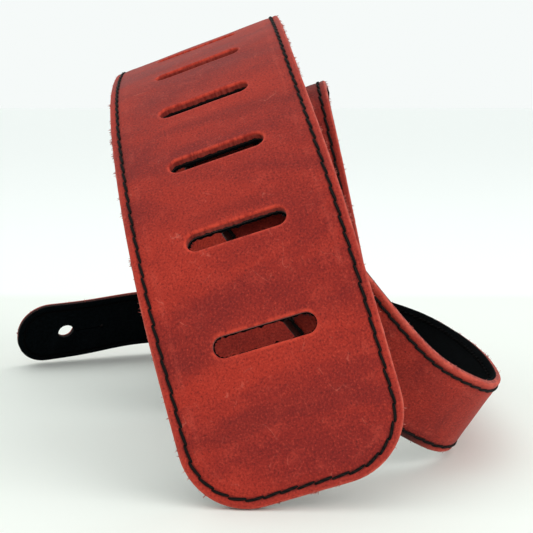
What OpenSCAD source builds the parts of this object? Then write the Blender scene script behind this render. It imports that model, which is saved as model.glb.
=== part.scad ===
// Two-piece leather guitar strap, loosely rolled up and standing on a table.
// A wide slotted strap makes two turns of a roll.  A narrow tongue is threaded
// through its last slot, runs down inside the roll, loops round on its edge and
// ends in a button hole.  Each piece is outer leather, suede lining, a needle
// thread on the face and a bobbin thread on the lining.  Millimetres, +Z up.

/* [Wide strap] */
// Width of the wide strap
strap_w = 68; // [60:0.5:70]
// Thickness of its outer leather
strap_leather_t = 3; // [2.4:0.1:3.2]
// Thickness of its suede lining
strap_lining_t = 1; // [0.8:0.1:1.2]
// Corner radius of the slotted end
strap_corner_r = 21; // [12:1:24]
// Width of its button-hole end
horn_w = 36; // [30:1:40]
// Length of the taper into the button-hole end
horn_taper_l = 100; // [80:5:120]

/* [Slots] */
// Number of slots
slot_count = 8; // [5:1:8]
// Distance from the end of the strap to the first slot
slot_first = 48; // [46:0.5:52]
// Distance between slots
slot_pitch = 34; // [33:0.5:34]
// Length of a slot over its round ends
slot_l = 32; // [31:0.5:34]
// Width of a slot
slot_w = 6.5; // [6.5:0.1:7]

/* [Tongue] */
// Width of the tongue
tongue_w = 30; // [28:0.5:30]
// Width of the tongue where it goes through a slot
tongue_inner_w = 25; // [22:0.5:25]
// Thickness of its outer leather
tongue_leather_t = 2.2; // [1.8:0.1:2.2]
// Thickness of its suede lining
tongue_lining_t = 0.8; // [0.6:0.1:0.8]
// Length of the tongue's tip, which flexes on its own
tip_l = 62; // [50:1:64]

/* [Button holes] */
// Diameter of a button hole
hole_d = 7; // [6:0.5:8]
// Distance from the end of the strap to the centre of the hole
hole_inset = 22; // [20:1:24]
// Length of the slit from the hole's centre to the stop hole
slit_l = 17; // [14:1:18]
// Width of the slit
slit_w = 0.6; // [0.4:0.1:1]
// Diameter of the stop hole
stop_d = 1.6; // [1.2:0.1:2]

/* [Stitching] */
// Distance from the edge to the stitch line of the wide strap
strap_seam = 2.8; // [2.6:0.1:4]
// Distance from the edge to the stitch line of the tongue
tongue_seam = 2.6; // [2.4:0.1:3]
// Thread diameter
thread_d = 0.8; // [0.6:0.1:1]

/* [Hidden] */

eps = 0.1;
red = "#b03a36";
black = "#15181a";
thread_black = "#0c0c0e";

// Moves the assembly so that its box is centred on Z and stands on Z = 0
seat = [15.74, -5.48, 1.55];

// The roll leans over sideways: its plane and its rulings tilt by these angles
plane_tilt = 16.5;
ruling_tilt = 20.5;
roll_start = [13, -121.6, 3.2];
roll_heading = 79;
// Wide strap as arcs: [length, turn in degrees, steps], from the slotted end
roll = [
    [22.8, 1, 12], [25, 2, 5], [38, 29, 9], [36, 14, 8], [36, 7, 6], [36, 12, 7],
    [36, 8, 7],                // up the front and over the outer crest
    [85, 96, 18], [35.4, 0, 4], // down the back
    [66, 90, 16], [32, 0, 4],  // forward along the table
    [46, 94, 14], [39, 0, 5], // up the inner turn
    [94, 172, 30], [32, 0, 4], // over the inner crest
    [64, 188, 22], [26, 0, 4], [20, 0, 10]]; // the button-hole end, curled inside
// Sideways drift of the wide strap: [distance along it, drift]
drift = [[0, -0.5], [50, 0], [85, 0.2], [150, -0.4], [220, -0.2], [300, 0], [440, 0],
    [480, 2], [590, 11], [650, 5], [900, 0]];
last_slot = slot_first + (slot_count - 1) * slot_pitch;

// Tongue up to the slotted strap: [centre of its width, direction across it]
loose = [
    [[-111, 86, 12.8], [0.15, -0.42, 0.88]], [[-85, 98.5, 14.3], [0.15, -0.45, 0.87]],
    [[-59, 111, 17], [0.15, -0.48, 0.86]], [[-25, 124, 17.6], [0.2, -0.4, 0.9]],
    [[10, 128, 16], [0.25, -0.3, 0.92]], [[40, 108, 14.2], [0.4, -0.2, 0.89]],
    [[59, 70, 13.4], [0.5, -0.15, 0.84]], [[68, 22, 13.2], [0.54, -0.15, 0.82]],
    [[71, -25, 13.5], [0.5, -0.2, 0.84]], [[69, -60, 13.6], [0.5, -0.25, 0.83]],
    [[60, -78, 17.2], [0.53, -0.27, 0.8]], [[41, -90, 31], [0.64, -0.28, 0.72]],
    [[18, -96, 57.5], [0.8, -0.15, 0.58]], [[-2, -79, 84], [0.92, 0, 0.4]],
    [[-12, -60, 94.5], [0.94, 0, 0.34]], [[-18, -27, 111], [0.94, 0, 0.34]]];
// Then inside the slotted strap: [distance before the last slot, height over its glue line]
under = [[85, -9.5], [54, -9], [28, -9]];
// Through the last slot: [distance past it, height], straight in that slot's own frame
through = [[-7.2, -9.6], [-2, -6.8], [-0.4, -4.4], [0.35, -1.5], [0.9, 3.2], [2, 6.8], [5.2, 10],
    [11.4, 11]];
// And down the outside, as in under
outside = [[-33, 8], [-52, 7], [-72, 8.5]];
tongue_narrow = [[0, tongue_w / 2], [470, tongue_w / 2], [530, tongue_inner_w / 2],
    [900, tongue_inner_w / 2]];
tip_gap = 2.5;

function unit(v) = v / norm(v);
function plus(frame, along, across, out) =
    frame[0] + along * frame[1] + across * frame[2] + out * frame[3];

// A frame is [centre, direction along, direction across, outward normal, distance]
function frame(c, t, across, s) =
    let (a = unit(across - (across * t) * t)) [c, t, a, cross(a, t), s];

// The frame at distance s, blended from its two neighbours
function frame_at(frames, s) =
    let (j = min([for (i = [1 : len(frames) - 1]) if (frames[i][4] >= s || i == len(frames) - 1) i]),
        a = frames[j - 1], b = frames[j], t = (s - a[4]) / (b[4] - a[4]), m = a + t * (b - a))
    frame(m[0], unit(m[1]), unit(m[2]), s);
// The frames from lo to hi, with one at each end
function between(frames, lo, hi) = concat([frame_at(frames, lo)],
    [for (f = frames) if (f[4] > lo + 0.5 && f[4] < hi - 0.5) f], [frame_at(frames, hi)]);

// ---- wide strap: arcs in the roll's plane ----
up_dir = [-sin(plane_tilt), 0, cos(plane_tilt)];
side_dir = [cos(plane_tilt), 0, sin(plane_tilt)];
ruling_dir = [cos(ruling_tilt), 0, sin(ruling_tilt)];
roll_steps = [for (arc = roll, k = [1 : arc[2]]) [arc[0], arc[1]] / arc[2]];
function stride(p, d) = let (m = p[1] - d[1] / 2)
    [p[0] + d[0], p[1] - d[1], p[2] + d[0] * cos(m), p[3] + d[0] * sin(m)];
roll_walk = [for (i = 0, p = [0, roll_heading, 0, 0]; i <= len(roll_steps);
    p = i < len(roll_steps) ? stride(p, roll_steps[i]) : p, i = i + 1) p];
function roll_frame(p) = frame(
    seat + roll_start + [0, p[2], 0] + p[3] * up_dir + lookup(p[0], drift) * side_dir,
    [0, cos(p[1]), 0] + sin(p[1]) * up_dir, ruling_dir, p[0]);
strap_frames = [for (p = roll_walk) roll_frame(p)];
strap_l = roll_walk[len(roll_walk) - 1][0];

// ---- tongue: a smooth curve through its stations ----
function over_strap(p) = let (f = frame_at(strap_frames, last_slot - p[0]))
    [plus(f, 0, 0, p[1]), f[2]];
slot_frame = frame_at(strap_frames, last_slot);
tongue = concat([for (p = loose) [seat + p[0], p[1]]], [for (p = under) over_strap(p)],
    [for (p = through) [plus(slot_frame, p[0], 0, p[1]), slot_frame[2]]],
    [for (p = outside) over_strap(p)]);
last = len(tongue) - 1;
function station(i, k) = i < 0 ? 2 * tongue[0][k] - tongue[1][k]
    : i > last ? 2 * tongue[last][k] - tongue[last - 1][k] : tongue[i][k];
function curve(a, b, c, d, t) =
    (2 * b + (c - a) * t + (2 * a - 5 * b + 4 * c - d) * t * t
        + (3 * b - a - 3 * c + d) * t * t * t) / 2;
function on_curve(i, k, t) =
    curve(station(i - 1, k), station(i, k), station(i + 1, k), station(i + 2, k), t);
function span_steps(i) = let (l = norm(tongue[i + 1][0] - tongue[i][0]))
    ceil(l / (i == 0 || i == last - 1 || l < 9 ? 2 : 4.5));
tongue_at = concat([for (i = [0 : last - 1], k = [0 : span_steps(i) - 1])
    [i, k / span_steps(i)]], [[last - 1, 1]]);
tongue_points = [for (q = tongue_at) on_curve(q[0], 0, q[1])];
tongue_n = len(tongue_points);
tongue_dist = [for (i = 0, d = 0; i < tongue_n;
    d = i < tongue_n - 1 ? d + norm(tongue_points[i + 1] - tongue_points[i]) : d, i = i + 1) d];
tongue_l = tongue_dist[tongue_n - 1];
function heading(pts, i) = unit(pts[min(i + 1, len(pts) - 1)] - pts[max(i - 1, 0)]);
tongue_frames = [for (i = [0 : tongue_n - 1])
    frame(tongue_points[i], heading(tongue_points, i),
        unit(on_curve(tongue_at[i][0], 1, tongue_at[i][1])), tongue_dist[i])];

// ---- half widths, with round ends ----
function rounding(d, r) = d >= r ? 0 : r - sqrt(max(0, r * r - (r - max(0, d)) ^ 2));
function strap_half(s, seam) = lookup(s, [[0, strap_w / 2], [strap_l - horn_taper_l - 45, strap_w / 2],
    [strap_l - 45, horn_w / 2], [strap_l, horn_w / 2]]) - seam
    - rounding(s - seam, strap_corner_r - seam)
    - rounding(strap_l - s - seam, horn_w / 2 - 1 - seam);
function tongue_half(s, seam) = lookup(s, tongue_narrow) - seam
    - rounding(s - seam, tongue_w / 2 - 1 - seam)
    - rounding(tongue_l - s - seam, tongue_inner_w / 2 - 1 - seam);

// Skin of a four-sided tube of n rings; two strips that share a face cut it alike
function tube_faces(n) = concat([[3, 2, 1], [3, 1, 0]],
    [for (i = [0 : n - 2], k = [0 : 3]) let (a = 4 * i + k, b = 4 * i + (k + 1) % 4)
        each (k == 2 ? [[a, b, a + 4], [b, b + 4, a + 4]] : [[a, b, b + 4], [a, b + 4, a + 4]])],
    [[4 * n - 4, 4 * n - 3, 4 * n - 2], [4 * n - 4, 4 * n - 2, 4 * n - 1]]);

// A closed strip between two heights above the glue line
module strip(frames, halves, low, high) {
    points = [for (i = [0 : len(frames) - 1], q = [[-1, low], [1, low], [1, high], [-1, high]])
        plus(frames[i], 0, q[0] * halves[i], q[1])];
    polyhedron(points, tube_faces(len(frames)));
}

// A thread laid along a path of [point, normal] pairs, as a four-sided tube
module thread(path) {
    r = thread_d / 2;
    centres = [for (p = path) p[0]];
    points = [for (i = [0 : len(path) - 1])
        let (out = path[i][1], side = unit(cross(out, heading(centres, i))))
        for (q = [out, side, -out, -side]) centres[i] + r * q];
    polyhedron(points, tube_faces(len(path)));
}

// Places children in a frame: X across, Y along, Z outward
module at_frame(f) {
    multmatrix([for (k = [0 : 2]) [f[2][k], f[1][k], f[3][k], f[0][k]]]) children();
}

module slot_cut() {
    c = (slot_l - slot_w) / 2;
    cube([2 * c, slot_w, 24], center = true);
    for (x = [-c, c]) translate([x, 0, 0]) cylinder(h = 24, d = slot_w, center = true, $fn = 32);
}

// Round button hole, slit and stop hole; the slit runs in direction way
module button_hole_cut(way) {
    cylinder(h = 20, d = hole_d, center = true, $fn = 48);
    translate([0, way * slit_l / 2, 0]) cube([slit_w, slit_l, 20], center = true);
    translate([0, way * slit_l, 0]) cylinder(h = 20, d = stop_d, center = true, $fn = 24);
}

module strap_layer(low, high) {
    difference() {
        strip(strap_frames, [for (f = strap_frames) max(0.5, strap_half(f[4], 0))], low, high);
        for (k = [0 : slot_count - 1])
            at_frame(frame_at(strap_frames, slot_first + k * slot_pitch)) slot_cut();
        at_frame(frame_at(strap_frames, strap_l - hole_inset)) button_hole_cut(-1);
    }
}

function seam_path(frames, halves, height) = concat(
    [for (i = [0 : len(frames) - 1]) [plus(frames[i], 0, -halves[i], height), frames[i][3]]],
    [for (i = [len(frames) - 1 : -1 : 0]) [plus(frames[i], 0, halves[i], height), frames[i][3]]]);

module strap_thread(height) {
    inner = between(strap_frames, strap_seam, strap_l - strap_seam);
    run = seam_path(inner, [for (f = inner) strap_half(f[4], strap_seam)], height);
    stop = run[0][0] + 1.5 * unit(run[len(run) - 1][0] - run[0][0]);
    thread(concat(run, [[stop, run[0][1]]]));
}

module tongue_layer(lo, hi, low, high) {
    part = between(tongue_frames, lo, hi);
    strip(part, [for (f = part) max(0.5, tongue_half(f[4], 0))], low, high);
}

module tongue_thread(lo, hi, height) {
    part = between(tongue_frames, max(lo, tongue_seam), min(hi, tongue_l - tongue_seam));
    halves = [for (f = part) tongue_half(f[4], tongue_seam)];
    right = [for (i = [0 : len(part) - 1]) [plus(part[i], 0, halves[i], height), part[i][3]]];
    left = [for (i = [0 : len(part) - 1]) [plus(part[i], 0, -halves[i], height), part[i][3]]];
    n = len(part);
    if (lo > 0)
        thread(concat(left, [for (i = [n - 1 : -1 : 0]) right[i]]));
    else
        thread(concat([for (i = [n - 1 : -1 : 0]) right[i]], left));
}

module tip_layer(low, high) {
    difference() {
        tongue_layer(0, tip_l, low, high);
        at_frame(frame_at(tongue_frames, hole_inset)) button_hole_cut(1);
    }
}

rest_from = tip_l + tip_gap;
rise = thread_d / 2 + eps;

module strap_leather() { color(red) strap_layer(0, strap_leather_t); }
module strap_lining() { color(black) strap_layer(-strap_lining_t, 0); }
module strap_needle_thread() { color(thread_black) strap_thread(strap_leather_t + rise); }
module strap_bobbin_thread() { color(thread_black) strap_thread(-strap_lining_t - rise); }
module tongue_leather() { color(red) tongue_layer(rest_from, tongue_l, 0, tongue_leather_t); }
module tongue_lining() { color(black) tongue_layer(rest_from, tongue_l, -tongue_lining_t, 0); }
module tongue_needle_thread() {
    color(thread_black) tongue_thread(rest_from, tongue_l, tongue_leather_t + rise);
}
module tongue_bobbin_thread() {
    color(thread_black) tongue_thread(rest_from, tongue_l, -tongue_lining_t - rise);
}
module tip_leather() { color(red) tip_layer(0, tongue_leather_t); }
module tip_lining() { color(black) tip_layer(-tongue_lining_t, 0); }
module tip_needle_thread() { color(thread_black) tongue_thread(0, tip_l, tongue_leather_t + rise); }
module tip_bobbin_thread() { color(thread_black) tongue_thread(0, tip_l, -tongue_lining_t - rise); }

strap_leather();
strap_lining();
strap_needle_thread();
strap_bobbin_thread();
tongue_leather();
tongue_lining();
tongue_needle_thread();
tongue_bobbin_thread();
tip_leather();
tip_lining();
tip_needle_thread();
tip_bobbin_thread();
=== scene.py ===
"""A two-piece leather guitar strap, loosely rolled, standing on a pale table."""
import math

import bpy
import numpy as np
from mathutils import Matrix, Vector, noise


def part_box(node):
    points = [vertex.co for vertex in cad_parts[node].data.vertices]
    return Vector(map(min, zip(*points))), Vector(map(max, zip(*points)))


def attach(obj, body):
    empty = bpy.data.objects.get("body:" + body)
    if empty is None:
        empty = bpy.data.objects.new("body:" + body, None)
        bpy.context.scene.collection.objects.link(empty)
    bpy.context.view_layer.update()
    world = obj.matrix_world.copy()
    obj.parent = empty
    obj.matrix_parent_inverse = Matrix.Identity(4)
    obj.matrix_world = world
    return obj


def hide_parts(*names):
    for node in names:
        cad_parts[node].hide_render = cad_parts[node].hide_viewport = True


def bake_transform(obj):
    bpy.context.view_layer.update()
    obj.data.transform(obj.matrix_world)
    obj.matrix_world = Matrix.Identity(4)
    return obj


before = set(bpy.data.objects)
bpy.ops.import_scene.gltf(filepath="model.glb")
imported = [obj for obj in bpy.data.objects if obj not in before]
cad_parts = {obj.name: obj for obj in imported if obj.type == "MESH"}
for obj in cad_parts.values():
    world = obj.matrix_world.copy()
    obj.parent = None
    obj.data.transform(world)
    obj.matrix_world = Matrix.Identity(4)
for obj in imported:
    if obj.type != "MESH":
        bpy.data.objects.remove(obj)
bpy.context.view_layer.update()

MM = 0.001
rng = np.random.default_rng(7)

# ---- sizes, in millimetres, as in the CAD model ----
STRAP_W, STRAP_LEATHER, STRAP_LINING = 68, 3, 1
STRAP_CORNER, HORN_W, HORN_TAPER, HORN_STRAIGHT = 21, 36, 100, 45
SLOTS, SLOT_FIRST, SLOT_PITCH, SLOT_L, SLOT_W = 8, 48, 34, 32, 6.5
LAST_SLOT = SLOT_FIRST + (SLOTS - 1) * SLOT_PITCH
TONGUE_W, TONGUE_INNER_W, TONGUE_LEATHER, TONGUE_LINING = 30, 25, 2.2, 0.8
TONGUE_NARROWS = (470, 530)  # between these distances from its tip
END_FLAT = 1  # a round end's radius is this much under half its width
HOLE_R, HOLE_INSET, SLIT_L, STOP_R = 3.5, 22, 17, 0.8
STRAP_SEAM, TONGUE_SEAM = 2.8, 2.6
STRAP_STITCH, TONGUE_STITCH = 5.2, 4.6

# ---- details that only this model has, in millimetres ----
SLIT_W = 0.2  # nearly shut
STRAP_CREASE, TONGUE_CREASE = 3.6, 3.0  # faint pressed line, inside the seam
SEAM_GROOVE, LINING_GROOVE = 0.3, 0.12  # depths that the threads lie at
THREAD_R, THREAD_REST = 0.46, 0.7  # its radius, and how many radii its middle is over its groove
STRAP_LEAN, TONGUE_LEAN, BOBBIN_LEAN = -0.32, -0.28, 0.3  # how far a stitch's ends go to the side
STITCH_OVERLAP = 0.07  # of the pitch, past each of a stitch's holes
STITCH_DIP, STITCH_THIN = 0.18, 0.22  # at its ends: how far down, and the share that it thins by
STITCH_FLAT = 0.85  # its height, as a share of its width
LEATHER_EDGE_R, LEATHER_HOLE_R, LINING_EDGE_R, LINING_HOLE_R = 0.8, 0.5, 0.35, 0.3
CUT_ROUGH, HOLE_ROUGH, ROUGH_SIZE = 0.2, 0.05, 1.1  # how far and how often the cut walls wander
ROUGH_SHIFT = 9  # so that each ring of a wall wanders its own way
GLUE_GAP = 0.02
NO_HOLE = 99  # a distance from holes that counts as none
GRAIN_BUMP, NAP_BUMP, TWIST_BUMP = 0.0002, 0.0003, 0.00012  # in metres

# The roll leans sideways: its plane and its rulings tilt by these angles
PLANE_TILT, RULING_TILT = math.radians(16.5), math.radians(20.5)
ROLL_START, ROLL_HEADING = (13, -121.6, 3.2), 79
# Each arc of the roll: length, turn in degrees
ROLL = [(22.8, 1), (25, 2), (38, 29), (36, 14), (36, 7), (36, 12), (36, 8), (85, 96), (35.4, 0),
        (66, 90), (32, 0), (46, 94), (39, 0), (94, 172), (32, 0), (64, 188), (26, 0), (20, 0)]
# How far the roll has moved sideways, at distances along it
DRIFT = [(0, -0.5), (50, 0), (85, 0.2), (150, -0.4), (220, -0.2), (300, 0), (440, 0), (480, 2),
         (590, 11), (650, 5), (900, 0)]

# Tongue up to the slotted strap: centre of its width, direction across it
LOOSE = [((-111, 86, 12.8), (0.15, -0.42, 0.88)), ((-85, 98.5, 14.3), (0.15, -0.45, 0.87)),
         ((-59, 111, 17), (0.15, -0.48, 0.86)), ((-25, 124, 17.6), (0.2, -0.4, 0.9)),
         ((10, 128, 16), (0.25, -0.3, 0.92)), ((40, 108, 14.2), (0.4, -0.2, 0.89)),
         ((59, 70, 13.4), (0.5, -0.15, 0.84)), ((68, 22, 13.2), (0.54, -0.15, 0.82)),
         ((71, -25, 13.5), (0.5, -0.2, 0.84)), ((69, -60, 13.6), (0.5, -0.25, 0.83)),
         ((60, -78, 17.2), (0.53, -0.27, 0.8)), ((41, -90, 31), (0.64, -0.28, 0.72)),
         ((18, -96, 57.5), (0.8, -0.15, 0.58)), ((-2, -79, 84), (0.92, 0, 0.4)),
         ((-12, -60, 94.5), (0.94, 0, 0.34)), ((-18, -27, 111), (0.94, 0, 0.34))]
# Under the slotted strap: distance short of the last slot, height over the strap's glue line
UNDER = [(85, -9.5), (54, -9), (28, -9)]
# Through the last slot: distance along the strap's direction there, height over its glue line
THROUGH = [(-7.2, -9.6), (-2, -6.8), (-0.4, -4.4), (0.35, -1.5), (0.9, 3.2), (2, 6.8), (5.2, 10),
           (11.4, 11)]
# And down the outside, as in UNDER, where minus is past the last slot
OUTSIDE = [(-33, 8), (-52, 7), (-72, 8.5)]


# ---- the two ribbons as curves with a direction across and a normal ----
def unit(v):
    return v / np.linalg.norm(v, axis=-1, keepdims=True)


class Ribbon:
    """A strip's centre line: its distance, place, direction across and outward normal."""

    def __init__(self, centre, along, across):
        self.centre, self.along = centre, unit(along)
        across = across - (across * self.along).sum(-1, keepdims=True) * self.along
        self.across = unit(across)
        self.normal = np.cross(self.across, self.along)
        steps = np.linalg.norm(np.diff(centre, axis=0), axis=1)
        self.dist = np.concatenate([[0], np.cumsum(steps)])
        self.length = self.dist[-1]

    def at(self, s):
        """Centre, direction along, direction across and normal at distance s."""
        s = np.asarray(s, float)

        def blend(table):
            return np.stack([np.interp(s, self.dist, table[:, axis]) for axis in range(3)], -1)

        along, across, normal = (unit(blend(table)) for table in (self.along, self.across, self.normal))
        return blend(self.centre), along, across, normal

    def place(self, s, w, d):
        """Points at distance s, w to the side and d above the glue line."""
        centre, _, across, normal = self.at(s)
        return centre + np.asarray(w)[..., None] * across + np.asarray(d)[..., None] * normal


def roll_ribbon(step=0.5):
    """The wide strap: arcs in a tilted plane, with a sideways drift."""
    dist, heading, ahead, above = [0.0], [math.radians(ROLL_HEADING)], [0.0], [0.0]
    for length, turn in ROLL:
        n = round(length / step)
        for _ in range(n):
            middle = heading[-1] - math.radians(turn) / n / 2
            ahead.append(ahead[-1] + length / n * math.cos(middle))
            above.append(above[-1] + length / n * math.sin(middle))
            heading.append(heading[-1] - math.radians(turn) / n)
            dist.append(dist[-1] + length / n)
    heading, ahead, above = (np.array(values)[:, None] for values in (heading, ahead, above))
    up = np.array([-math.sin(PLANE_TILT), 0, math.cos(PLANE_TILT)])
    side = np.array([math.cos(PLANE_TILT), 0, math.sin(PLANE_TILT)])
    forward = np.array([0, 1, 0])
    drift = np.interp(dist, *zip(*DRIFT))[:, None]
    centre = np.array(ROLL_START) + ahead * forward + above * up + drift * side
    ruling = np.array([math.cos(RULING_TILT), 0, math.sin(RULING_TILT)])
    ribbon = Ribbon(centre, np.cos(heading) * forward + np.sin(heading) * up, ruling + 0 * centre)
    # distances leave the drift out, as in the CAD model
    ribbon.dist = np.array(dist)
    ribbon.length = dist[-1]
    return ribbon


def smooth_curve(points, steps=24):
    """A Catmull-Rom curve through the points."""
    points = np.vstack([2 * points[0] - points[1], points, 2 * points[-1] - points[-2]])
    out = []
    for i in range(1, len(points) - 2):
        before, start, end, after = points[i - 1:i + 3]
        for t in np.arange(steps) / steps:
            out.append((2 * start + (end - before) * t
                        + (2 * before - 5 * start + 4 * end - after) * t * t
                        + (3 * start - before - 3 * end + after) * t ** 3) / 2)
    return np.array(out + [points[-2]])


def tongue_ribbon(strap, seat):
    """The tongue: loose on the table, then under, through and outside the strap."""
    def over(before, height):
        centre, _, across, normal = strap.at(LAST_SLOT - before)
        return centre + height * normal, across

    centre, along, across, normal = strap.at(LAST_SLOT)
    stations = [(np.array(place) + seat, np.array(ruling)) for place, ruling in LOOSE]
    stations += [over(*station) for station in UNDER]
    stations += [(centre + x * along + height * normal, across) for x, height in THROUGH]
    stations += [over(*station) for station in OUTSIDE]
    places, rulings = (np.array(values) for values in zip(*stations))
    line = smooth_curve(places)
    return Ribbon(line, np.gradient(line, axis=0), unit(smooth_curve(rulings)))


# ---- outlines in the flat ----
def rounded(distance, r):
    """How far a rounded edge or corner falls back at that distance in from the cut."""
    d = np.clip(distance, 0, r)
    return r - np.sqrt(np.maximum(0, r * r - (r - d) ** 2))


class Outline:
    """A strip cut to half widths at given distances, with a corner radius at each end."""

    def __init__(self, ribbon, half_widths, start_r, end_r):
        self.ribbon, self.half_widths = ribbon, half_widths
        self.start_r, self.end_r, self.length = start_r, end_r, ribbon.length

    def square_half(self, s):
        """Half the width, without the round ends."""
        return np.interp(s, *zip(*self.half_widths))

    def half(self, s, inset=0.0):
        """Half the width, to a line set in from the cut edge."""
        s = np.asarray(s, float)
        return (self.square_half(s) - inset - rounded(s - inset, self.start_r - inset)
                - rounded(self.length - s - inset, self.end_r - inset))

    def edge(self, s, w):
        """Distance in from the cut edge."""
        side = self.square_half(s) - np.abs(w)

        def corner(end, r):
            round_off = r - np.hypot(r - np.minimum(side, r), r - np.minimum(end, r))
            return np.where((side < r) & (end < r), round_off, np.minimum(side, end))

        return np.minimum(corner(s, self.start_r), corner(self.length - s, self.end_r))

    def rows(self, stops, step, end_rows=15):
        """Distances of the grid's rows: fine at the round ends, and through every stop."""
        turn = np.linspace(0, math.pi / 2, end_rows)
        start = self.start_r * (1 - np.cos(turn))
        end = self.length - self.end_r * (1 - np.cos(turn[::-1]))
        out = list(start)
        for stop, longest in [*stops, (end[0], step)]:
            n = max(1, math.ceil((stop - out[-1]) / longest))
            out += list(np.linspace(out[-1], stop, n + 1)[1:])
        return np.array(out + list(end[1:]))

    def seam(self, inset, step=0.25, end_points=90):
        """The stitch line's flat points, once round the strip, and their distance along it."""
        ends = 1 - np.cos(np.linspace(0, math.pi / 2, end_points))
        s = np.unique(np.concatenate([np.arange(inset, self.length - inset, step),
                                      inset + (self.start_r - inset) * ends,
                                      self.length - inset - (self.end_r - inset) * ends]))
        half = self.half(s, inset)
        left, right = np.stack([s, -half], -1), np.stack([s, half], -1)[::-1]
        loop = np.concatenate([left, right, left[:1]])
        dist = np.concatenate([[0], np.cumsum(np.linalg.norm(np.diff(loop, axis=0), axis=1))])
        return loop, dist


# ---- flat grids with holes, turned into solids ----
class Hole:
    """A slot across the strip, or a round hole with a slit along the strip.

    slit is the slit's length, minus for one toward the start, and 0 makes a slot. reach is how
    far the hole's patch of rings goes along the strip and to the side.
    """

    def __init__(self, s, reach, slit=0):
        self.s, self.slit = s, slit
        along, self.side = reach
        self.low, self.high = s - along + min(0, slit), s + along + max(0, slit)

    def rim(self, s, w, grow):
        """The point of the hole's edge that faces the flat point (s, w)."""
        def round_from(middle, r):
            return middle + (r + grow) * unit(np.array([s, w]) - middle)

        if not self.slit:
            straight = (SLOT_L - SLOT_W) / 2
            return round_from(np.array([self.s, np.clip(w, -straight, straight)]), SLOT_W / 2)
        x = (s - self.s) * math.copysign(1, self.slit)
        if x <= 0:
            return round_from(np.array([self.s, 0]), HOLE_R)
        if x >= SLIT_L:
            return round_from(np.array([self.s + self.slit, 0]), STOP_R)
        wide = max(SLIT_W / 2, math.sqrt(max(0, HOLE_R ** 2 - x * x)),
                   math.sqrt(max(0, STOP_R ** 2 - (SLIT_L - x) ** 2)))
        return np.array([s, math.copysign(wide + grow, w)])

    def spoke(self, s, w, rings, grow):
        """Flat points from the hole's edge out toward (s, w), and their distance from the edge."""
        start, end = self.rim(s, w, grow), np.array([s, w])
        reach = math.hypot(*(end - start))
        steps = [ring for ring in rings if ring < 0.8 * reach]
        spare = reach - steps[-1]
        steps += [steps[-1] + spare * part for part in (0.3, 0.65)]
        # a short spoke's last points crowd up to its end, so that all spokes have as many
        steps += [reach * (1 - 0.01 * k) for k in range(len(rings) + 2 - len(steps), 0, -1)]
        return [(*(start + (end - start) * step / reach), step) for step in steps]


class Sheet:
    """A flat grid of quads over an outline, with its holes and its boundary loops.

    rims are its columns' distances in from each edge, and across is the number of columns
    between. step is the most between two rows, and rings are the distances of the rings round a
    hole. grow makes the holes larger, or smaller if negative, and ragged makes their edges uneven.
    """

    def __init__(self, outline, holes, rims, across, step, rings, grow=0.0, ragged=0.0):
        self.outline = outline
        slot_step, slit_step = 1.0, 0.6  # the rows are closer beside a hole
        stops = []
        for hole in holes:
            stops += [(hole.low, step), (hole.high, slit_step if hole.slit else slot_step)]
        rows = outline.rows(stops, step)
        columns = 2 * len(rims) + across
        flat = [(s, w, NO_HOLE) for s in rows for w in self.row(s, np.array(rims, float), across)]
        grid = np.arange(len(flat)).reshape(len(rows), columns)
        self.loops = [[*grid[:, 0], *grid[-1, 1:], *grid[-2::-1, -1], *grid[0, -2:0:-1]]]
        quads = []
        free = np.ones((len(rows) - 1, columns - 1), bool)
        for hole in holes:
            i0, i1 = (int(np.argmin(np.abs(rows - stop))) for stop in (hole.low, hole.high))
            j0 = int(np.argmin([abs(flat[k][1] + hole.side) for k in grid[i0]]))
            j1 = columns - 1 - j0
            free[i0:i1, j0:j1] = False
            ring = [*grid[i0, j0:j1], *grid[i0:i1, j1], *grid[i1, j1:j0:-1], *grid[i1:i0:-1, j0]]
            spokes = []
            for k, corner in enumerate(ring):
                torn = ragged * noise.noise(Vector((k * 0.83, hole.s, 0))) if ragged else 0
                points = hole.spoke(*flat[corner][:2], rings, grow + torn)
                spokes.append([*range(len(flat), len(flat) + len(points)), corner])
                flat += points
            for a, b in zip(spokes, spokes[1:] + spokes[:1]):
                quads += [(a[k], a[k + 1], b[k + 1], b[k]) for k in range(len(a) - 1)]
            self.loops.append([spoke[0] for spoke in spokes])
        quads += [(grid[i, j], grid[i, j + 1], grid[i + 1, j + 1], grid[i + 1, j])
                  for i, j in np.argwhere(free)]
        # grid points inside a hole are in no quad, and are dropped
        used = np.unique(np.array(quads))
        renumber = -np.ones(len(flat), int)
        renumber[used] = np.arange(len(used))
        self.s, self.w, self.hole = np.array(flat)[used].T
        self.quads = renumber[np.array(quads)]
        self.loops = [renumber[np.array(loop)] for loop in self.loops]
        self.edge = np.maximum(0, outline.edge(self.s, self.w))

    def row(self, s, rims, across):
        """One row's places to the side. The rims draw together where the strip is narrow."""
        half = max(0.5, float(self.outline.half(s)))
        left = -half + rims * min(1.0, 0.55 * half / rims[-1])
        middle = np.linspace(left[-1], -left[-1], across + 2)[1:-1]
        return np.concatenate([left, middle, -left[::-1]])

    def outward(self, loop):
        """Flat direction out of the material along a boundary loop."""
        s, w = self.s[loop], self.w[loop]
        ds = np.roll(s, -1) - np.roll(s, 1)
        dw = np.roll(w, -1) - np.roll(w, 1)
        return unit(np.stack([dw, -ds], -1) + 1e-9)


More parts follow.
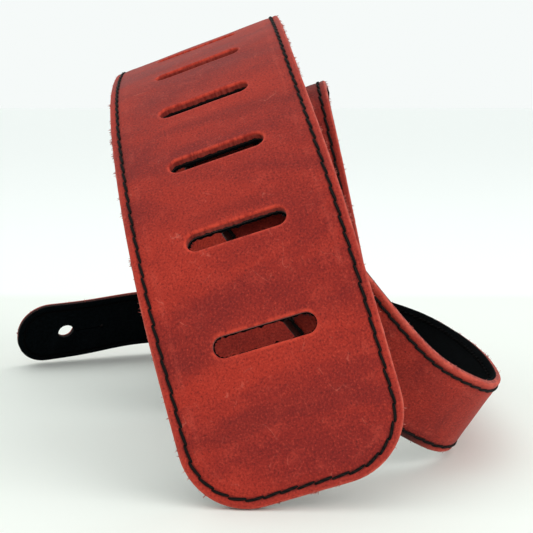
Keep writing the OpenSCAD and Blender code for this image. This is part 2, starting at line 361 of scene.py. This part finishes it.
def mesh_object(name, points, faces, attributes=None):
    """A smooth-shaded object from points in millimetres, with float attributes on its points."""
    mesh = bpy.data.meshes.new(name)
    mesh.from_pydata((np.asarray(points) * MM).tolist(), [], [list(map(int, f)) for f in faces])
    for key, values in (attributes or {}).items():
        attribute = mesh.attributes.new(key, "FLOAT", "POINT")
        attribute.data.foreach_set("value", np.asarray(values, np.float32))
    mesh.polygons.foreach_set("use_smooth", [True] * len(mesh.polygons))
    mesh.validate()
    obj = bpy.data.objects.new(name, mesh)
    bpy.context.scene.collection.objects.link(obj)
    return obj


def bumps(s, w, size, seed):
    return np.array([noise.noise(Vector((a / size, b / size, seed))) for a, b in zip(s, w)])


def solid(name, sheet, top, bottom, walls, seed):
    """A closed piece between two height fields, with uneven cut walls.

    walls are the depths of the walls' rings, from 0 at the top to 1 at the bottom.
    """
    count = len(sheet.s)
    faces = [*sheet.quads, *(sheet.quads[:, ::-1] + count)]
    layers = [(sheet.s, sheet.w, top, sheet.edge, sheet.hole, 0),
              (sheet.s, sheet.w, bottom, sheet.edge, sheet.hole, 1)]
    base = 2 * count
    for loop in sheet.loops:
        s, w, out = sheet.s[loop], sheet.w[loop], sheet.outward(loop)
        most, hole = (CUT_ROUGH, NO_HOLE) if loop is sheet.loops[0] else (HOLE_ROUGH, 0)
        levels = [loop]
        for depth in walls:
            height = top[loop] * (1 - depth) + bottom[loop] * depth
            rough = most * bumps(s, w + depth * ROUGH_SHIFT, ROUGH_SIZE, seed)
            layers.append((s + out[:, 0] * rough, w + out[:, 1] * rough, height, 0, hole, depth))
            levels.append(base + np.arange(len(loop)))
            base += len(loop)
        levels.append(loop + count)
        for a, b in zip(levels, levels[1:]):
            faces += list(np.stack([a, np.roll(a, -1), np.roll(b, -1), b], -1))
    layers = zip(*(np.broadcast_arrays(*layer) for layer in layers))
    s, w, height, edge, hole, depth = (np.concatenate(values) for values in layers)
    return mesh_object(name, sheet.outline.ribbon.place(s, w, height), faces, {
        "flat_s": s * MM, "flat_w": w * MM, "edge_mm": edge, "hole_mm": hole, "depth": depth})


def ridge(distance, at, width):
    return np.exp(-((distance - at) / width) ** 2)


def leather_top(sheet, thick, seam, crease):
    """The outer face: rounded edges, a pressed seam, a faint crease, raised lips and soft waves."""
    height = thick - rounded(sheet.edge, LEATHER_EDGE_R) - rounded(sheet.hole, LEATHER_HOLE_R)
    height -= SEAM_GROOVE * ridge(sheet.edge, seam, 0.7)
    height += 0.06 * ridge(sheet.edge, seam + crease, 0.9)
    height += 0.08 * ridge(sheet.hole, 1.3, 0.8)
    height += 0.16 * bumps(sheet.s, sheet.w, 14, 3) * np.clip(sheet.edge / 4, 0, 1)
    return height


def lining_bottom(sheet, thick):
    """The lining's face: rounded edges and soft waves."""
    height = -thick + rounded(sheet.edge, LINING_EDGE_R) + rounded(sheet.hole, LINING_HOLE_R)
    return height - 0.08 * bumps(sheet.s, sheet.w, 4, 5) * np.clip(sheet.edge, 0, 1)


# ---- stitches ----
def stitches(name, outline, inset, pitch, surface, way, groove, lean, sides=8, rings=9):
    """Separate slanted lockstitches round the seam, each a short bent tube dipping into its holes."""
    loop, dist = outline.seam(inset)
    count = round(dist[-1] / pitch)
    pitch = dist[-1] / count
    points, faces, along = [], [], []
    t = np.linspace(-STITCH_OVERLAP, 1 + STITCH_OVERLAP, rings)
    from_middle = np.abs(2 * t - 1)
    turn = np.linspace(0, 2 * math.pi, sides, endpoint=False)[None, :, None]
    for i in range(count):
        a = (i + t) * pitch + rng.uniform(-0.12, 0.12)
        here, next_to = (np.stack([np.interp(at, dist, loop[:, axis], period=dist[-1])
                                   for axis in (0, 1)], -1) for at in (a, a + 0.3))
        run = unit(next_to - here + 1e-9)
        side = np.stack([-run[:, 1], run[:, 0]], -1)
        slant = lean * (2 * t - 1 + rng.uniform(-0.25, 0.25))
        s, w = (here + side * slant[:, None]).T
        lift = -groove + THREAD_R * THREAD_REST - STITCH_DIP * from_middle ** 10
        centre = outline.ribbon.place(s, w, surface + way * (lift + rng.uniform(-0.04, 0.06)))
        normal = outline.ribbon.at(s)[3]
        heading = unit(np.gradient(centre, axis=0))
        flank = unit(np.cross(normal, heading))
        out = np.cross(heading, flank)
        r = THREAD_R * (1 - STITCH_THIN * from_middle ** 3) * rng.uniform(0.94, 1.06)
        section = np.cos(turn) * flank[:, None] + STITCH_FLAT * np.sin(turn) * out[:, None]
        points.append((centre[:, None] + r[:, None, None] * section).reshape(-1, 3))
        along.append(np.repeat(a, sides))
        tube = (i * rings * sides + np.arange(rings * sides)).reshape(rings, sides)
        for first, second in zip(tube, tube[1:]):
            faces += list(np.stack([first, np.roll(first, -1), np.roll(second, -1), second], -1))
        faces += [tube[0, ::-1], tube[-1]]
    return mesh_object(name, np.concatenate(points), faces, {"along": np.concatenate(along) * MM})


# ---- loose fibres on the cut edges ----
def fibres(name, sheet, loops, heights, per_point, length, radius):
    """Short bent hairs, in tufts, that stand out of a cut edge."""
    points, faces = [], []
    ribbon = sheet.outline.ribbon
    for loop in loops:
        n = max(1, round(per_point * len(loop)))
        # more hairs where a slow noise is high, so that they stand in tufts
        tuft = np.maximum(0.03, bumps(sheet.s[loop], sheet.w[loop], 3.5, 11)) ** 2
        picks = rng.choice(len(loop), n, p=tuft / tuft.sum())
        out = sheet.outward(loop)[picks]
        height = rng.uniform(*heights, n)
        reach = length * rng.uniform(0.35, 1.0, n) ** 1.5
        lean = rng.normal(0, 0.9, (n, 3))
        for k, i in enumerate(loop[picks]):
            s, w = sheet.s[i], sheet.w[i]
            root = ribbon.place(s - out[k, 0] * 0.15, w - out[k, 1] * 0.15, height[k])
            straight = ribbon.place(s + out[k, 0], w + out[k, 1], height[k]) - root
            away = unit(straight + 0.45 * lean[k])
            bent = unit(away + 0.5 * lean[k][::-1])
            # a hair is two thin lengths, the second one bent, with three sides
            line = [root, root + away * reach[k] * 0.5, root + (away + bent) * reach[k] * 0.5]
            flank = unit(np.cross(away, lean[k]))
            up = np.cross(away, flank)
            base = len(points)
            for p, r in zip(line, (radius, radius * 0.7, radius * 0.15)):
                points += [p + r * (math.cos(a) * flank + math.sin(a) * up) for a in (0.3, 2.4, 4.5)]
            for q in (base, base + 3):
                faces += [(q + j, q + (j + 1) % 3, q + 3 + (j + 1) % 3, q + 3 + j) for j in range(3)]
            faces += [(base + 2, base + 1, base), (base + 6, base + 7, base + 8)]
    return mesh_object(name, points, faces)


# ---- materials ----
def srgb(r, g, b):
    """A screen colour as the linear colour that nodes use."""
    def linear(c):
        c /= 255
        return c / 12.92 if c <= 0.04045 else ((c + 0.055) / 1.055) ** 2.4

    return (linear(r), linear(g), linear(b), 1)


class Nodes:
    """A short way to write a node tree. self.colour is the colour laid so far."""

    def __init__(self, name):
        self.material = bpy.data.materials.new(name)
        self.material.use_nodes = True
        self.tree = self.material.node_tree
        self.shader = self.tree.nodes["Principled BSDF"]
        self.colour = None

    def set(self, node, key, value):
        """Link a socket into an input, or set the input's value."""
        if isinstance(value, bpy.types.NodeSocket):
            self.tree.links.new(value, node.inputs[key])
        else:
            node.inputs[key].default_value = value

    def add(self, kind, inputs=None, **settings):
        node = self.tree.nodes.new("ShaderNode" + kind)
        for key, value in settings.items():
            setattr(node, key, value)
        for key, value in (inputs or {}).items():
            self.set(node, key, value)
        return node

    def attribute(self, name):
        return self.add("Attribute", attribute_name=name).outputs["Fac"]

    def math(self, operation, a, b=0.0):
        return self.add("Math", {0: a, 1: b}, operation=operation).outputs[0]

    def times(self, a, b):
        return self.math("MULTIPLY", a, b)

    def away_from(self, value, middle):
        return self.math("ABSOLUTE", self.math("SUBTRACT", value, middle))

    def mix(self, fac, a, b):
        return self.add("Mix", {0: fac, 6: a, 7: b}, data_type="RGBA").outputs[2]

    def lay(self, fac, colour):
        """Lay a colour over the colour so far."""
        self.colour = self.mix(fac, self.colour, colour)

    def span(self, value, low, high, to_low=0.0, to_high=1.0):
        """A smooth step from to_low to to_high as the value goes from low to high."""
        inputs = {"Value": value, "From Min": low, "From Max": high, "To Min": to_low, "To Max": to_high}
        return self.add("MapRange", inputs, interpolation_type="SMOOTHSTEP").outputs["Result"]

    def noise(self, vector, scale, detail=4.0, rough=0.55, distortion=0.0):
        return self.add("TexNoise", {"Vector": vector, "Scale": scale, "Detail": detail,
                                     "Roughness": rough, "Distortion": distortion}).outputs["Fac"]

    def flat(self, s_scale=1.0, w_scale=1.0):
        """The place on the strip laid flat, in metres."""
        s = self.times(self.attribute("flat_s"), s_scale)
        w = self.times(self.attribute("flat_w"), w_scale)
        return self.add("CombineXYZ", {"X": s, "Y": w}).outputs[0]

    def finish(self, roughness, bump=None, strength=0.4, depth=GRAIN_BUMP, **sockets):
        self.set(self.shader, "Base Color", self.colour)
        self.set(self.shader, "Roughness", roughness)
        if bump is not None:
            node = self.add("Bump", {"Strength": strength, "Distance": depth, "Height": bump})
            self.set(self.shader, "Normal", node.outputs[0])
        for key, value in sockets.items():
            self.set(self.shader, key.replace("_", " "), value)
        return self.material


def red_leather(name, seam, crease, worn_width, slot_dye, dark_tip_walls_and_painted_shade):
    """Pull-up leather. slot_dye is a share and a colour; the last argument darkens the tongue's edge
    walls near its tip and paints shade on one lower edge where it runs inside the roll.
    """
    n = Nodes(name)
    flat = n.flat()
    cloud = n.noise(n.flat(1.0, 0.4), 38, 5, 0.6, 0.5)
    patch = n.noise(flat, 130, 6, 0.7, 0.3)
    speckle = n.noise(flat, 1350, 4, 0.8)
    wear = n.noise(n.flat(0.7, 1.4), 260, 3, 0.7, 1.2)
    band = n.noise(n.flat(1.0, 0.22), 62, 3, 0.55, 0.3)
    edge, hole, depth = n.attribute("edge_mm"), n.attribute("hole_mm"), n.attribute("depth")

    # blotches, dark streaks across the strip that are painted shade of broad folds, and fine scratches
    n.colour = n.mix(n.span(cloud, 0.36, 0.66), srgb(124, 24, 18), srgb(160, 42, 28))
    n.lay(n.span(patch, 0.48, 0.75, 0, 0.5), srgb(176, 56, 42))
    n.lay(n.span(patch, 0.25, 0.44, 0.5, 0), srgb(103, 18, 19))
    n.lay(n.span(wear, 0.6, 0.78, 0, 0.3), srgb(188, 76, 60))
    # painted shade: darker bands across the strip where broad folds are shaded
    n.lay(n.span(band, 0.53, 0.7, 0, 0.5), srgb(108, 22, 19))
    drawn = n.away_from(n.noise(n.flat(0.6, 1.0), 95, 1.5, 0.5, 0.4), 0.5)
    scratch = n.times(n.span(drawn, 0.002, 0.007, 1, 0), n.span(patch, 0.5, 0.64, 0, 0.4))
    n.lay(scratch, srgb(196, 98, 82))

    # painted shade in the pressed seam's groove, the crease inside it, the margin outside it and the
    # grain
    n.lay(n.span(n.away_from(edge, seam), 0.3, 1.0, 0.6, 0), srgb(70, 13, 12))
    raised = n.span(n.away_from(edge, seam + crease), 0.1, 1.4, 1, 0)
    n.lay(n.times(raised, n.span(patch, 0.42, 0.6, 0, 0.22)), srgb(184, 68, 54))
    n.lay(n.span(edge, seam - 1.2, seam - 0.3, 0.35, 0), srgb(176, 54, 40))
    n.lay(n.span(speckle, 0.3, 0.52, 0.85, 0), srgb(72, 10, 10))
    n.lay(n.span(speckle, 0.53, 0.72, 0, 0.6), srgb(200, 74, 54))

    # lighter lips round the holes, partly rubbed and partly a painted highlight on their rims, and the
    # worn outer edge
    lip = n.times(n.span(hole, 0.1, 1.3, 1, 0), n.span(wear, 0.35, 0.62, 0.1, 0.8))
    n.lay(lip, srgb(200, 66, 46))
    worn = n.times(n.span(edge, 0.1, worn_width, 1, 0), n.span(wear, 0.35, 0.65, 0.15, 0.65))
    n.lay(worn, srgb(204, 92, 74))

    # the cut walls: raw fibre, with the lining's black nap drawn up into the slots
    wall, in_hole = n.span(depth, 0.02, 0.22), n.span(hole, 5, 20, 1, 0)
    raw = n.mix(n.span(n.noise(flat, 900, 5), 0.3, 0.7), srgb(112, 28, 22), srgb(186, 80, 66))
    n.lay(wall, raw)
    share, dye = slot_dye
    n.lay(n.times(n.times(wall, in_hole), share), dye)
    torn = n.math("ADD", depth, n.times(n.noise(flat, 520, 4, 0.75), 0.8))
    n.lay(n.times(n.span(torn, 1.08, 1.16), in_hole), srgb(8, 7, 8))

    if dark_tip_walls_and_painted_shade:
        # dark edge walls near the tip, and painted shade on one lower edge where it runs inside the roll
        from_tip, across = n.attribute("flat_s"), n.attribute("flat_w")
        n.lay(n.times(wall, n.span(from_tip, 0.012, 0.15, 0.97, 0)), srgb(16, 8, 9))
        # painted shade: one edge and its margin darkened from 352 mm along the tongue to its end
        inside = n.times(n.span(from_tip, 0.352, 0.372, 0, 0.88), n.span(edge, 2.2, 3.2, 1, 0))
        n.lay(n.times(inside, n.span(across, -0.004, 0.0, 1, 0)), srgb(22, 6, 6))

    grain = n.math("ADD", n.times(speckle, 0.6), n.noise(flat, 900, 4, 0.65))
    return n.finish(n.span(cloud, 0.3, 0.7, 0.68, 0.82), n.math("ADD", grain, patch), 0.5,
                    Specular_IOR_Level=0.2, Sheen_Weight=0.06, Sheen_Roughness=0.5,
                    Sheen_Tint=(1, 0.72, 0.66, 1))


def black_suede(name):
    """The lining: a fine nap, brushed lighter in places."""
    n = Nodes(name)
    nap = n.noise(n.flat(), 700, 6, 0.75)
    brushed = n.noise(n.flat(1.0, 0.4), 90, 4, 0.6, 0.6)
    n.colour = n.mix(n.span(nap, 0.35, 0.7), srgb(1, 3, 4), srgb(7, 12, 15))
    n.lay(n.span(brushed, 0.5, 0.75, 0, 0.3), srgb(14, 19, 23))
    height = n.math("ADD", nap, n.times(brushed, 0.5))
    return n.finish(0.97, height, 0.6, NAP_BUMP, Specular_IOR_Level=0.03)


def waxed_thread(name, light, gloss):
    """Black thread, with a painted highlight in the light colour on the crests of its twist."""
    n = Nodes(name)
    along = n.add("CombineXYZ", {"X": n.attribute("along")}).outputs[0]
    place = n.add("TexCoord").outputs["Object"]
    vector = n.add("VectorMath", {0: along, 1: place}, operation="ADD").outputs[0]
    twist = n.add("TexWave", {"Vector": vector, "Scale": 700.0, "Distortion": 1.0},
                  bands_direction="DIAGONAL").outputs["Fac"]
    # painted highlight: the light colour on the twist's crests
    n.colour = n.mix(n.span(twist, 0.2, 0.8), srgb(3, 3, 3), light)
    return n.finish(0.75, twist, 0.6, TWIST_BUMP, Specular_IOR_Level=gloss)


def hair(name, dark, light):
    """Loose fibres, each part between the dark and the light colour."""
    n = Nodes(name)
    place = n.add("TexCoord").outputs["Object"]
    n.colour = n.mix(n.span(n.noise(place, 900, 2), 0.35, 0.65), dark, light)
    return n.finish(0.9, Specular_IOR_Level=0.2)


# ---- the strip curves, set to the frame ----
def edges_box(outline, low, high):
    """The box round a strip's edges, between two heights."""
    ribbon = outline.ribbon
    s = np.linspace(0, ribbon.length, 400)
    half = outline.half(s)
    cloud = np.concatenate([ribbon.place(s, side * half, height + 0 * s)
                            for side in (-1, 1) for height in (low, high)])
    return cloud.min(0), cloud.max(0)


strap = roll_ribbon()
taper_end = strap.length - HORN_STRAIGHT
strap_outline = Outline(strap, [(taper_end - HORN_TAPER, STRAP_W / 2), (taper_end, HORN_W / 2)],
                        STRAP_CORNER, HORN_W / 2 - END_FLAT)
drawn_low, drawn_high = edges_box(strap_outline, 0, STRAP_LEATHER)
cad_low, cad_high = (np.array(corner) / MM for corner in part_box("strap_leather"))
SEAT = ((cad_low + cad_high) - (drawn_low + drawn_high)) / 2
strap.centre = strap.centre + SEAT
tongue = tongue_ribbon(strap, SEAT)
tongue_outline = Outline(tongue, [*zip(TONGUE_NARROWS, (TONGUE_W / 2, TONGUE_INNER_W / 2))],
                         TONGUE_W / 2 - END_FLAT, TONGUE_INNER_W / 2 - END_FLAT)

# ---- the grids: fine ones for the leathers, plainer ones for the linings ----
slots = [Hole(SLOT_FIRST + k * SLOT_PITCH, (9, 21)) for k in range(SLOTS)]
strap_holes = slots + [Hole(strap.length - HOLE_INSET, (4.7, 9), -SLIT_L)]
tongue_holes = [Hole(HOLE_INSET, (7.5, 9), SLIT_L)]
strap_sheet = Sheet(strap_outline, strap_holes,
                    [0, 0.12, 0.35, 0.7, 1.2, 1.8, 2.4, 2.9, 3.4, 3.9, 4.6, 5.4, 6.2, 7.0, 7.8, 9.0],
                    38, 1.7, [0, 0.1, 0.3, 0.7, 1.2, 1.9, 2.8, 4.2])
strap_back = Sheet(strap_outline, strap_holes, [0, 0.15, 0.4, 1.2, 3.0, 6.0, 9.0],
                   44, 1.5, [0, 0.3, 1.2, 3.0], grow=-0.3, ragged=0.9)
tongue_sheet = Sheet(tongue_outline, tongue_holes,
                     [0, 0.12, 0.35, 0.7, 1.2, 1.8, 2.3, 2.8, 3.4, 4.2, 5.2],
                     16, 1.7, [0, 0.1, 0.3, 0.7, 1.3, 2.2])
tongue_back = Sheet(tongue_outline, tongue_holes, [0, 0.15, 0.4, 1.2, 2.8, 5.2],
                    12, 2.0, [0, 0.3, 1.0], grow=0.05, ragged=0.1)

# ---- the pieces ----
hide = red_leather("red pull-up leather", STRAP_SEAM, STRAP_CREASE, 0.9, (0.6, srgb(120, 26, 18)), False)
tongue_hide = red_leather("red pull-up leather, tongue", TONGUE_SEAM, TONGUE_CREASE, 2.0,
                          (0.95, srgb(20, 8, 9)), True)
suede = black_suede("black suede")
thread = waxed_thread("black waxed thread", srgb(22, 17, 15), 0.12)
bobbin = waxed_thread("black bobbin thread", srgb(4, 4, 5), 0.02)
pink_hair = hair("leather fibres", srgb(140, 50, 44), srgb(206, 120, 108))
black_hair = hair("suede fibres", srgb(6, 6, 8), srgb(40, 40, 44))


def strip_pieces(strip, sheet, back, leather, lining, seam, crease, pitch, lean, skin, seed):
    """A strip's leather, lining and threads, each with its material, slot and CAD node."""
    outline = sheet.outline
    top = leather_top(sheet, leather, seam, crease)
    glue = 0.0 * back.s - GLUE_GAP
    return [
        (solid(strip + "_outer_leather", sheet, top, 0.0 * top, [0.25, 0.5, 0.75], seed),
         skin, "red_leather", strip + "_leather"),
        (solid(strip + "_suede_lining", back, glue, lining_bottom(back, lining), [0.5], seed + 1),
         suede, "black_lining", strip + "_lining"),
        (stitches(strip + "_needle_stitches", outline, seam, pitch, leather, 1, SEAM_GROOVE, lean),
         thread, "black_thread", strip + "_needle_thread"),
        (stitches(strip + "_bobbin_stitches", outline, seam, pitch, -lining, -1, LINING_GROOVE,
                  BOBBIN_LEAN), bobbin, "black_thread", strip + "_bobbin_thread"),
    ]


strap_pieces = strip_pieces("strap", strap_sheet, strap_back, STRAP_LEATHER, STRAP_LINING,
                            STRAP_SEAM, STRAP_CREASE, STRAP_STITCH, STRAP_LEAN, hide, 1)
tongue_pieces = strip_pieces("tongue", tongue_sheet, tongue_back, TONGUE_LEATHER, TONGUE_LINING,
                             TONGUE_SEAM, TONGUE_CREASE, TONGUE_STITCH, TONGUE_LEAN, tongue_hide, 3)
strap_fibres = fibres("strap_edge_fibres", strap_sheet, strap_sheet.loops[:1], (0.1, 2.8), 1.6, 1.3, 0.1)
# the last slot has none, because the tongue fills it
slot_fibres = fibres("slot_fibres", strap_back, strap_back.loops[1:SLOTS], (-0.9, -0.1), 1.3, 1.1, 0.06)
tongue_fibres = fibres("tongue_edge_fibres", tongue_sheet, tongue_sheet.loops[:1], (0.1, 2.0), 1.3, 1.1,
                       0.08)


def bend_at_tip(obj):
    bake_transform(obj)


def paint(obj, material):
    obj.data.materials.clear()
    obj.data.materials.append(material)


for obj, material, slot_name, node in strap_pieces:
    paint(obj, material)
    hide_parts(node)
    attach(obj, "strap")
for obj, material, slot_name, node in tongue_pieces:
    paint(obj, material)
    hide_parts(node, node.replace("tongue", "tip"))
    bend_at_tip(obj)
paint(strap_fibres, pink_hair)
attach(strap_fibres, "strap")
paint(slot_fibres, black_hair)
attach(slot_fibres, "strap")
paint(tongue_fibres, pink_hair)
bend_at_tip(tongue_fibres)

# ---- the camera, at the photograph's place and angle ----
FOCAL_PX, IMAGE_PX, SENSOR = 1329, 533, 36
CAMERA_PLACE, CAMERA_DOWN = (0, -500, 116.5), 7
camera_data = bpy.data.cameras.new("camera")
camera_data.sensor_width = SENSOR
camera_data.lens = FOCAL_PX / IMAGE_PX * SENSOR
camera = bpy.data.objects.new("camera", camera_data)
bpy.context.scene.collection.objects.link(camera)
camera.location = (np.array(CAMERA_PLACE) + SEAT) * MM
camera.rotation_euler = (math.radians(90 - CAMERA_DOWN), 0, 0)
bpy.context.scene.camera = camera

# ---- stage and light, in metres ----
TABLE, BEYOND = srgb(242, 246, 240), srgb(250, 253, 251)
TABLE_END, TABLE_FADE, FLOOR_REACH = 0.29, 0.04, 30
# Each light: place, aim, size, power
LIGHTS = {"top_window": ((-0.2, -0.1, 1.5), (0, 0, 0.05), 1.2, 2),
          "front_fill": ((-0.3, -1.7, 0.75), (0, 0, 0.08), 1.4, 2),
          "side_window": ((1.1, -0.9, 0.6), (0.05, 0, 0.04), 1.2, 8)}
SKY, SKY_STRENGTH = (0.95, 0.985, 0.975, 1), 0.97


def stage():
    """A pale table, with a whiter floor past its far edge."""
    reach = FLOOR_REACH / MM
    corners = [(-reach, -reach, 0), (reach, -reach, 0), (reach, reach, 0), (-reach, reach, 0)]
    floor = mesh_object("pale_floor", corners, [(0, 1, 2, 3)])
    n = Nodes("pale floor")
    back = n.add("SeparateXYZ", {0: n.add("TexCoord").outputs["Object"]}).outputs["Y"]
    n.colour = n.mix(n.span(back, TABLE_END, TABLE_END + TABLE_FADE), TABLE, BEYOND)
    floor.data.materials.append(n.finish(0.6, Specular_IOR_Level=0.1))


def area_light(name, place, aim, size, power):
    data = bpy.data.lights.new(name, "AREA")
    data.size, data.energy = size, power
    light = bpy.data.objects.new(name, data)
    light.location = place
    light.rotation_euler = (Vector(aim) - Vector(place)).to_track_quat("-Z", "Y").to_euler()
    bpy.context.scene.collection.objects.link(light)


stage()
for name, settings in LIGHTS.items():
    area_light(name, *settings)
world = bpy.data.worlds.new("studio")
bpy.context.scene.world = world
world.use_nodes = True
sky = world.node_tree.nodes["Background"].inputs
sky["Color"].default_value = SKY
sky["Strength"].default_value = SKY_STRENGTH
bpy.context.scene.view_settings.view_transform = "Standard"
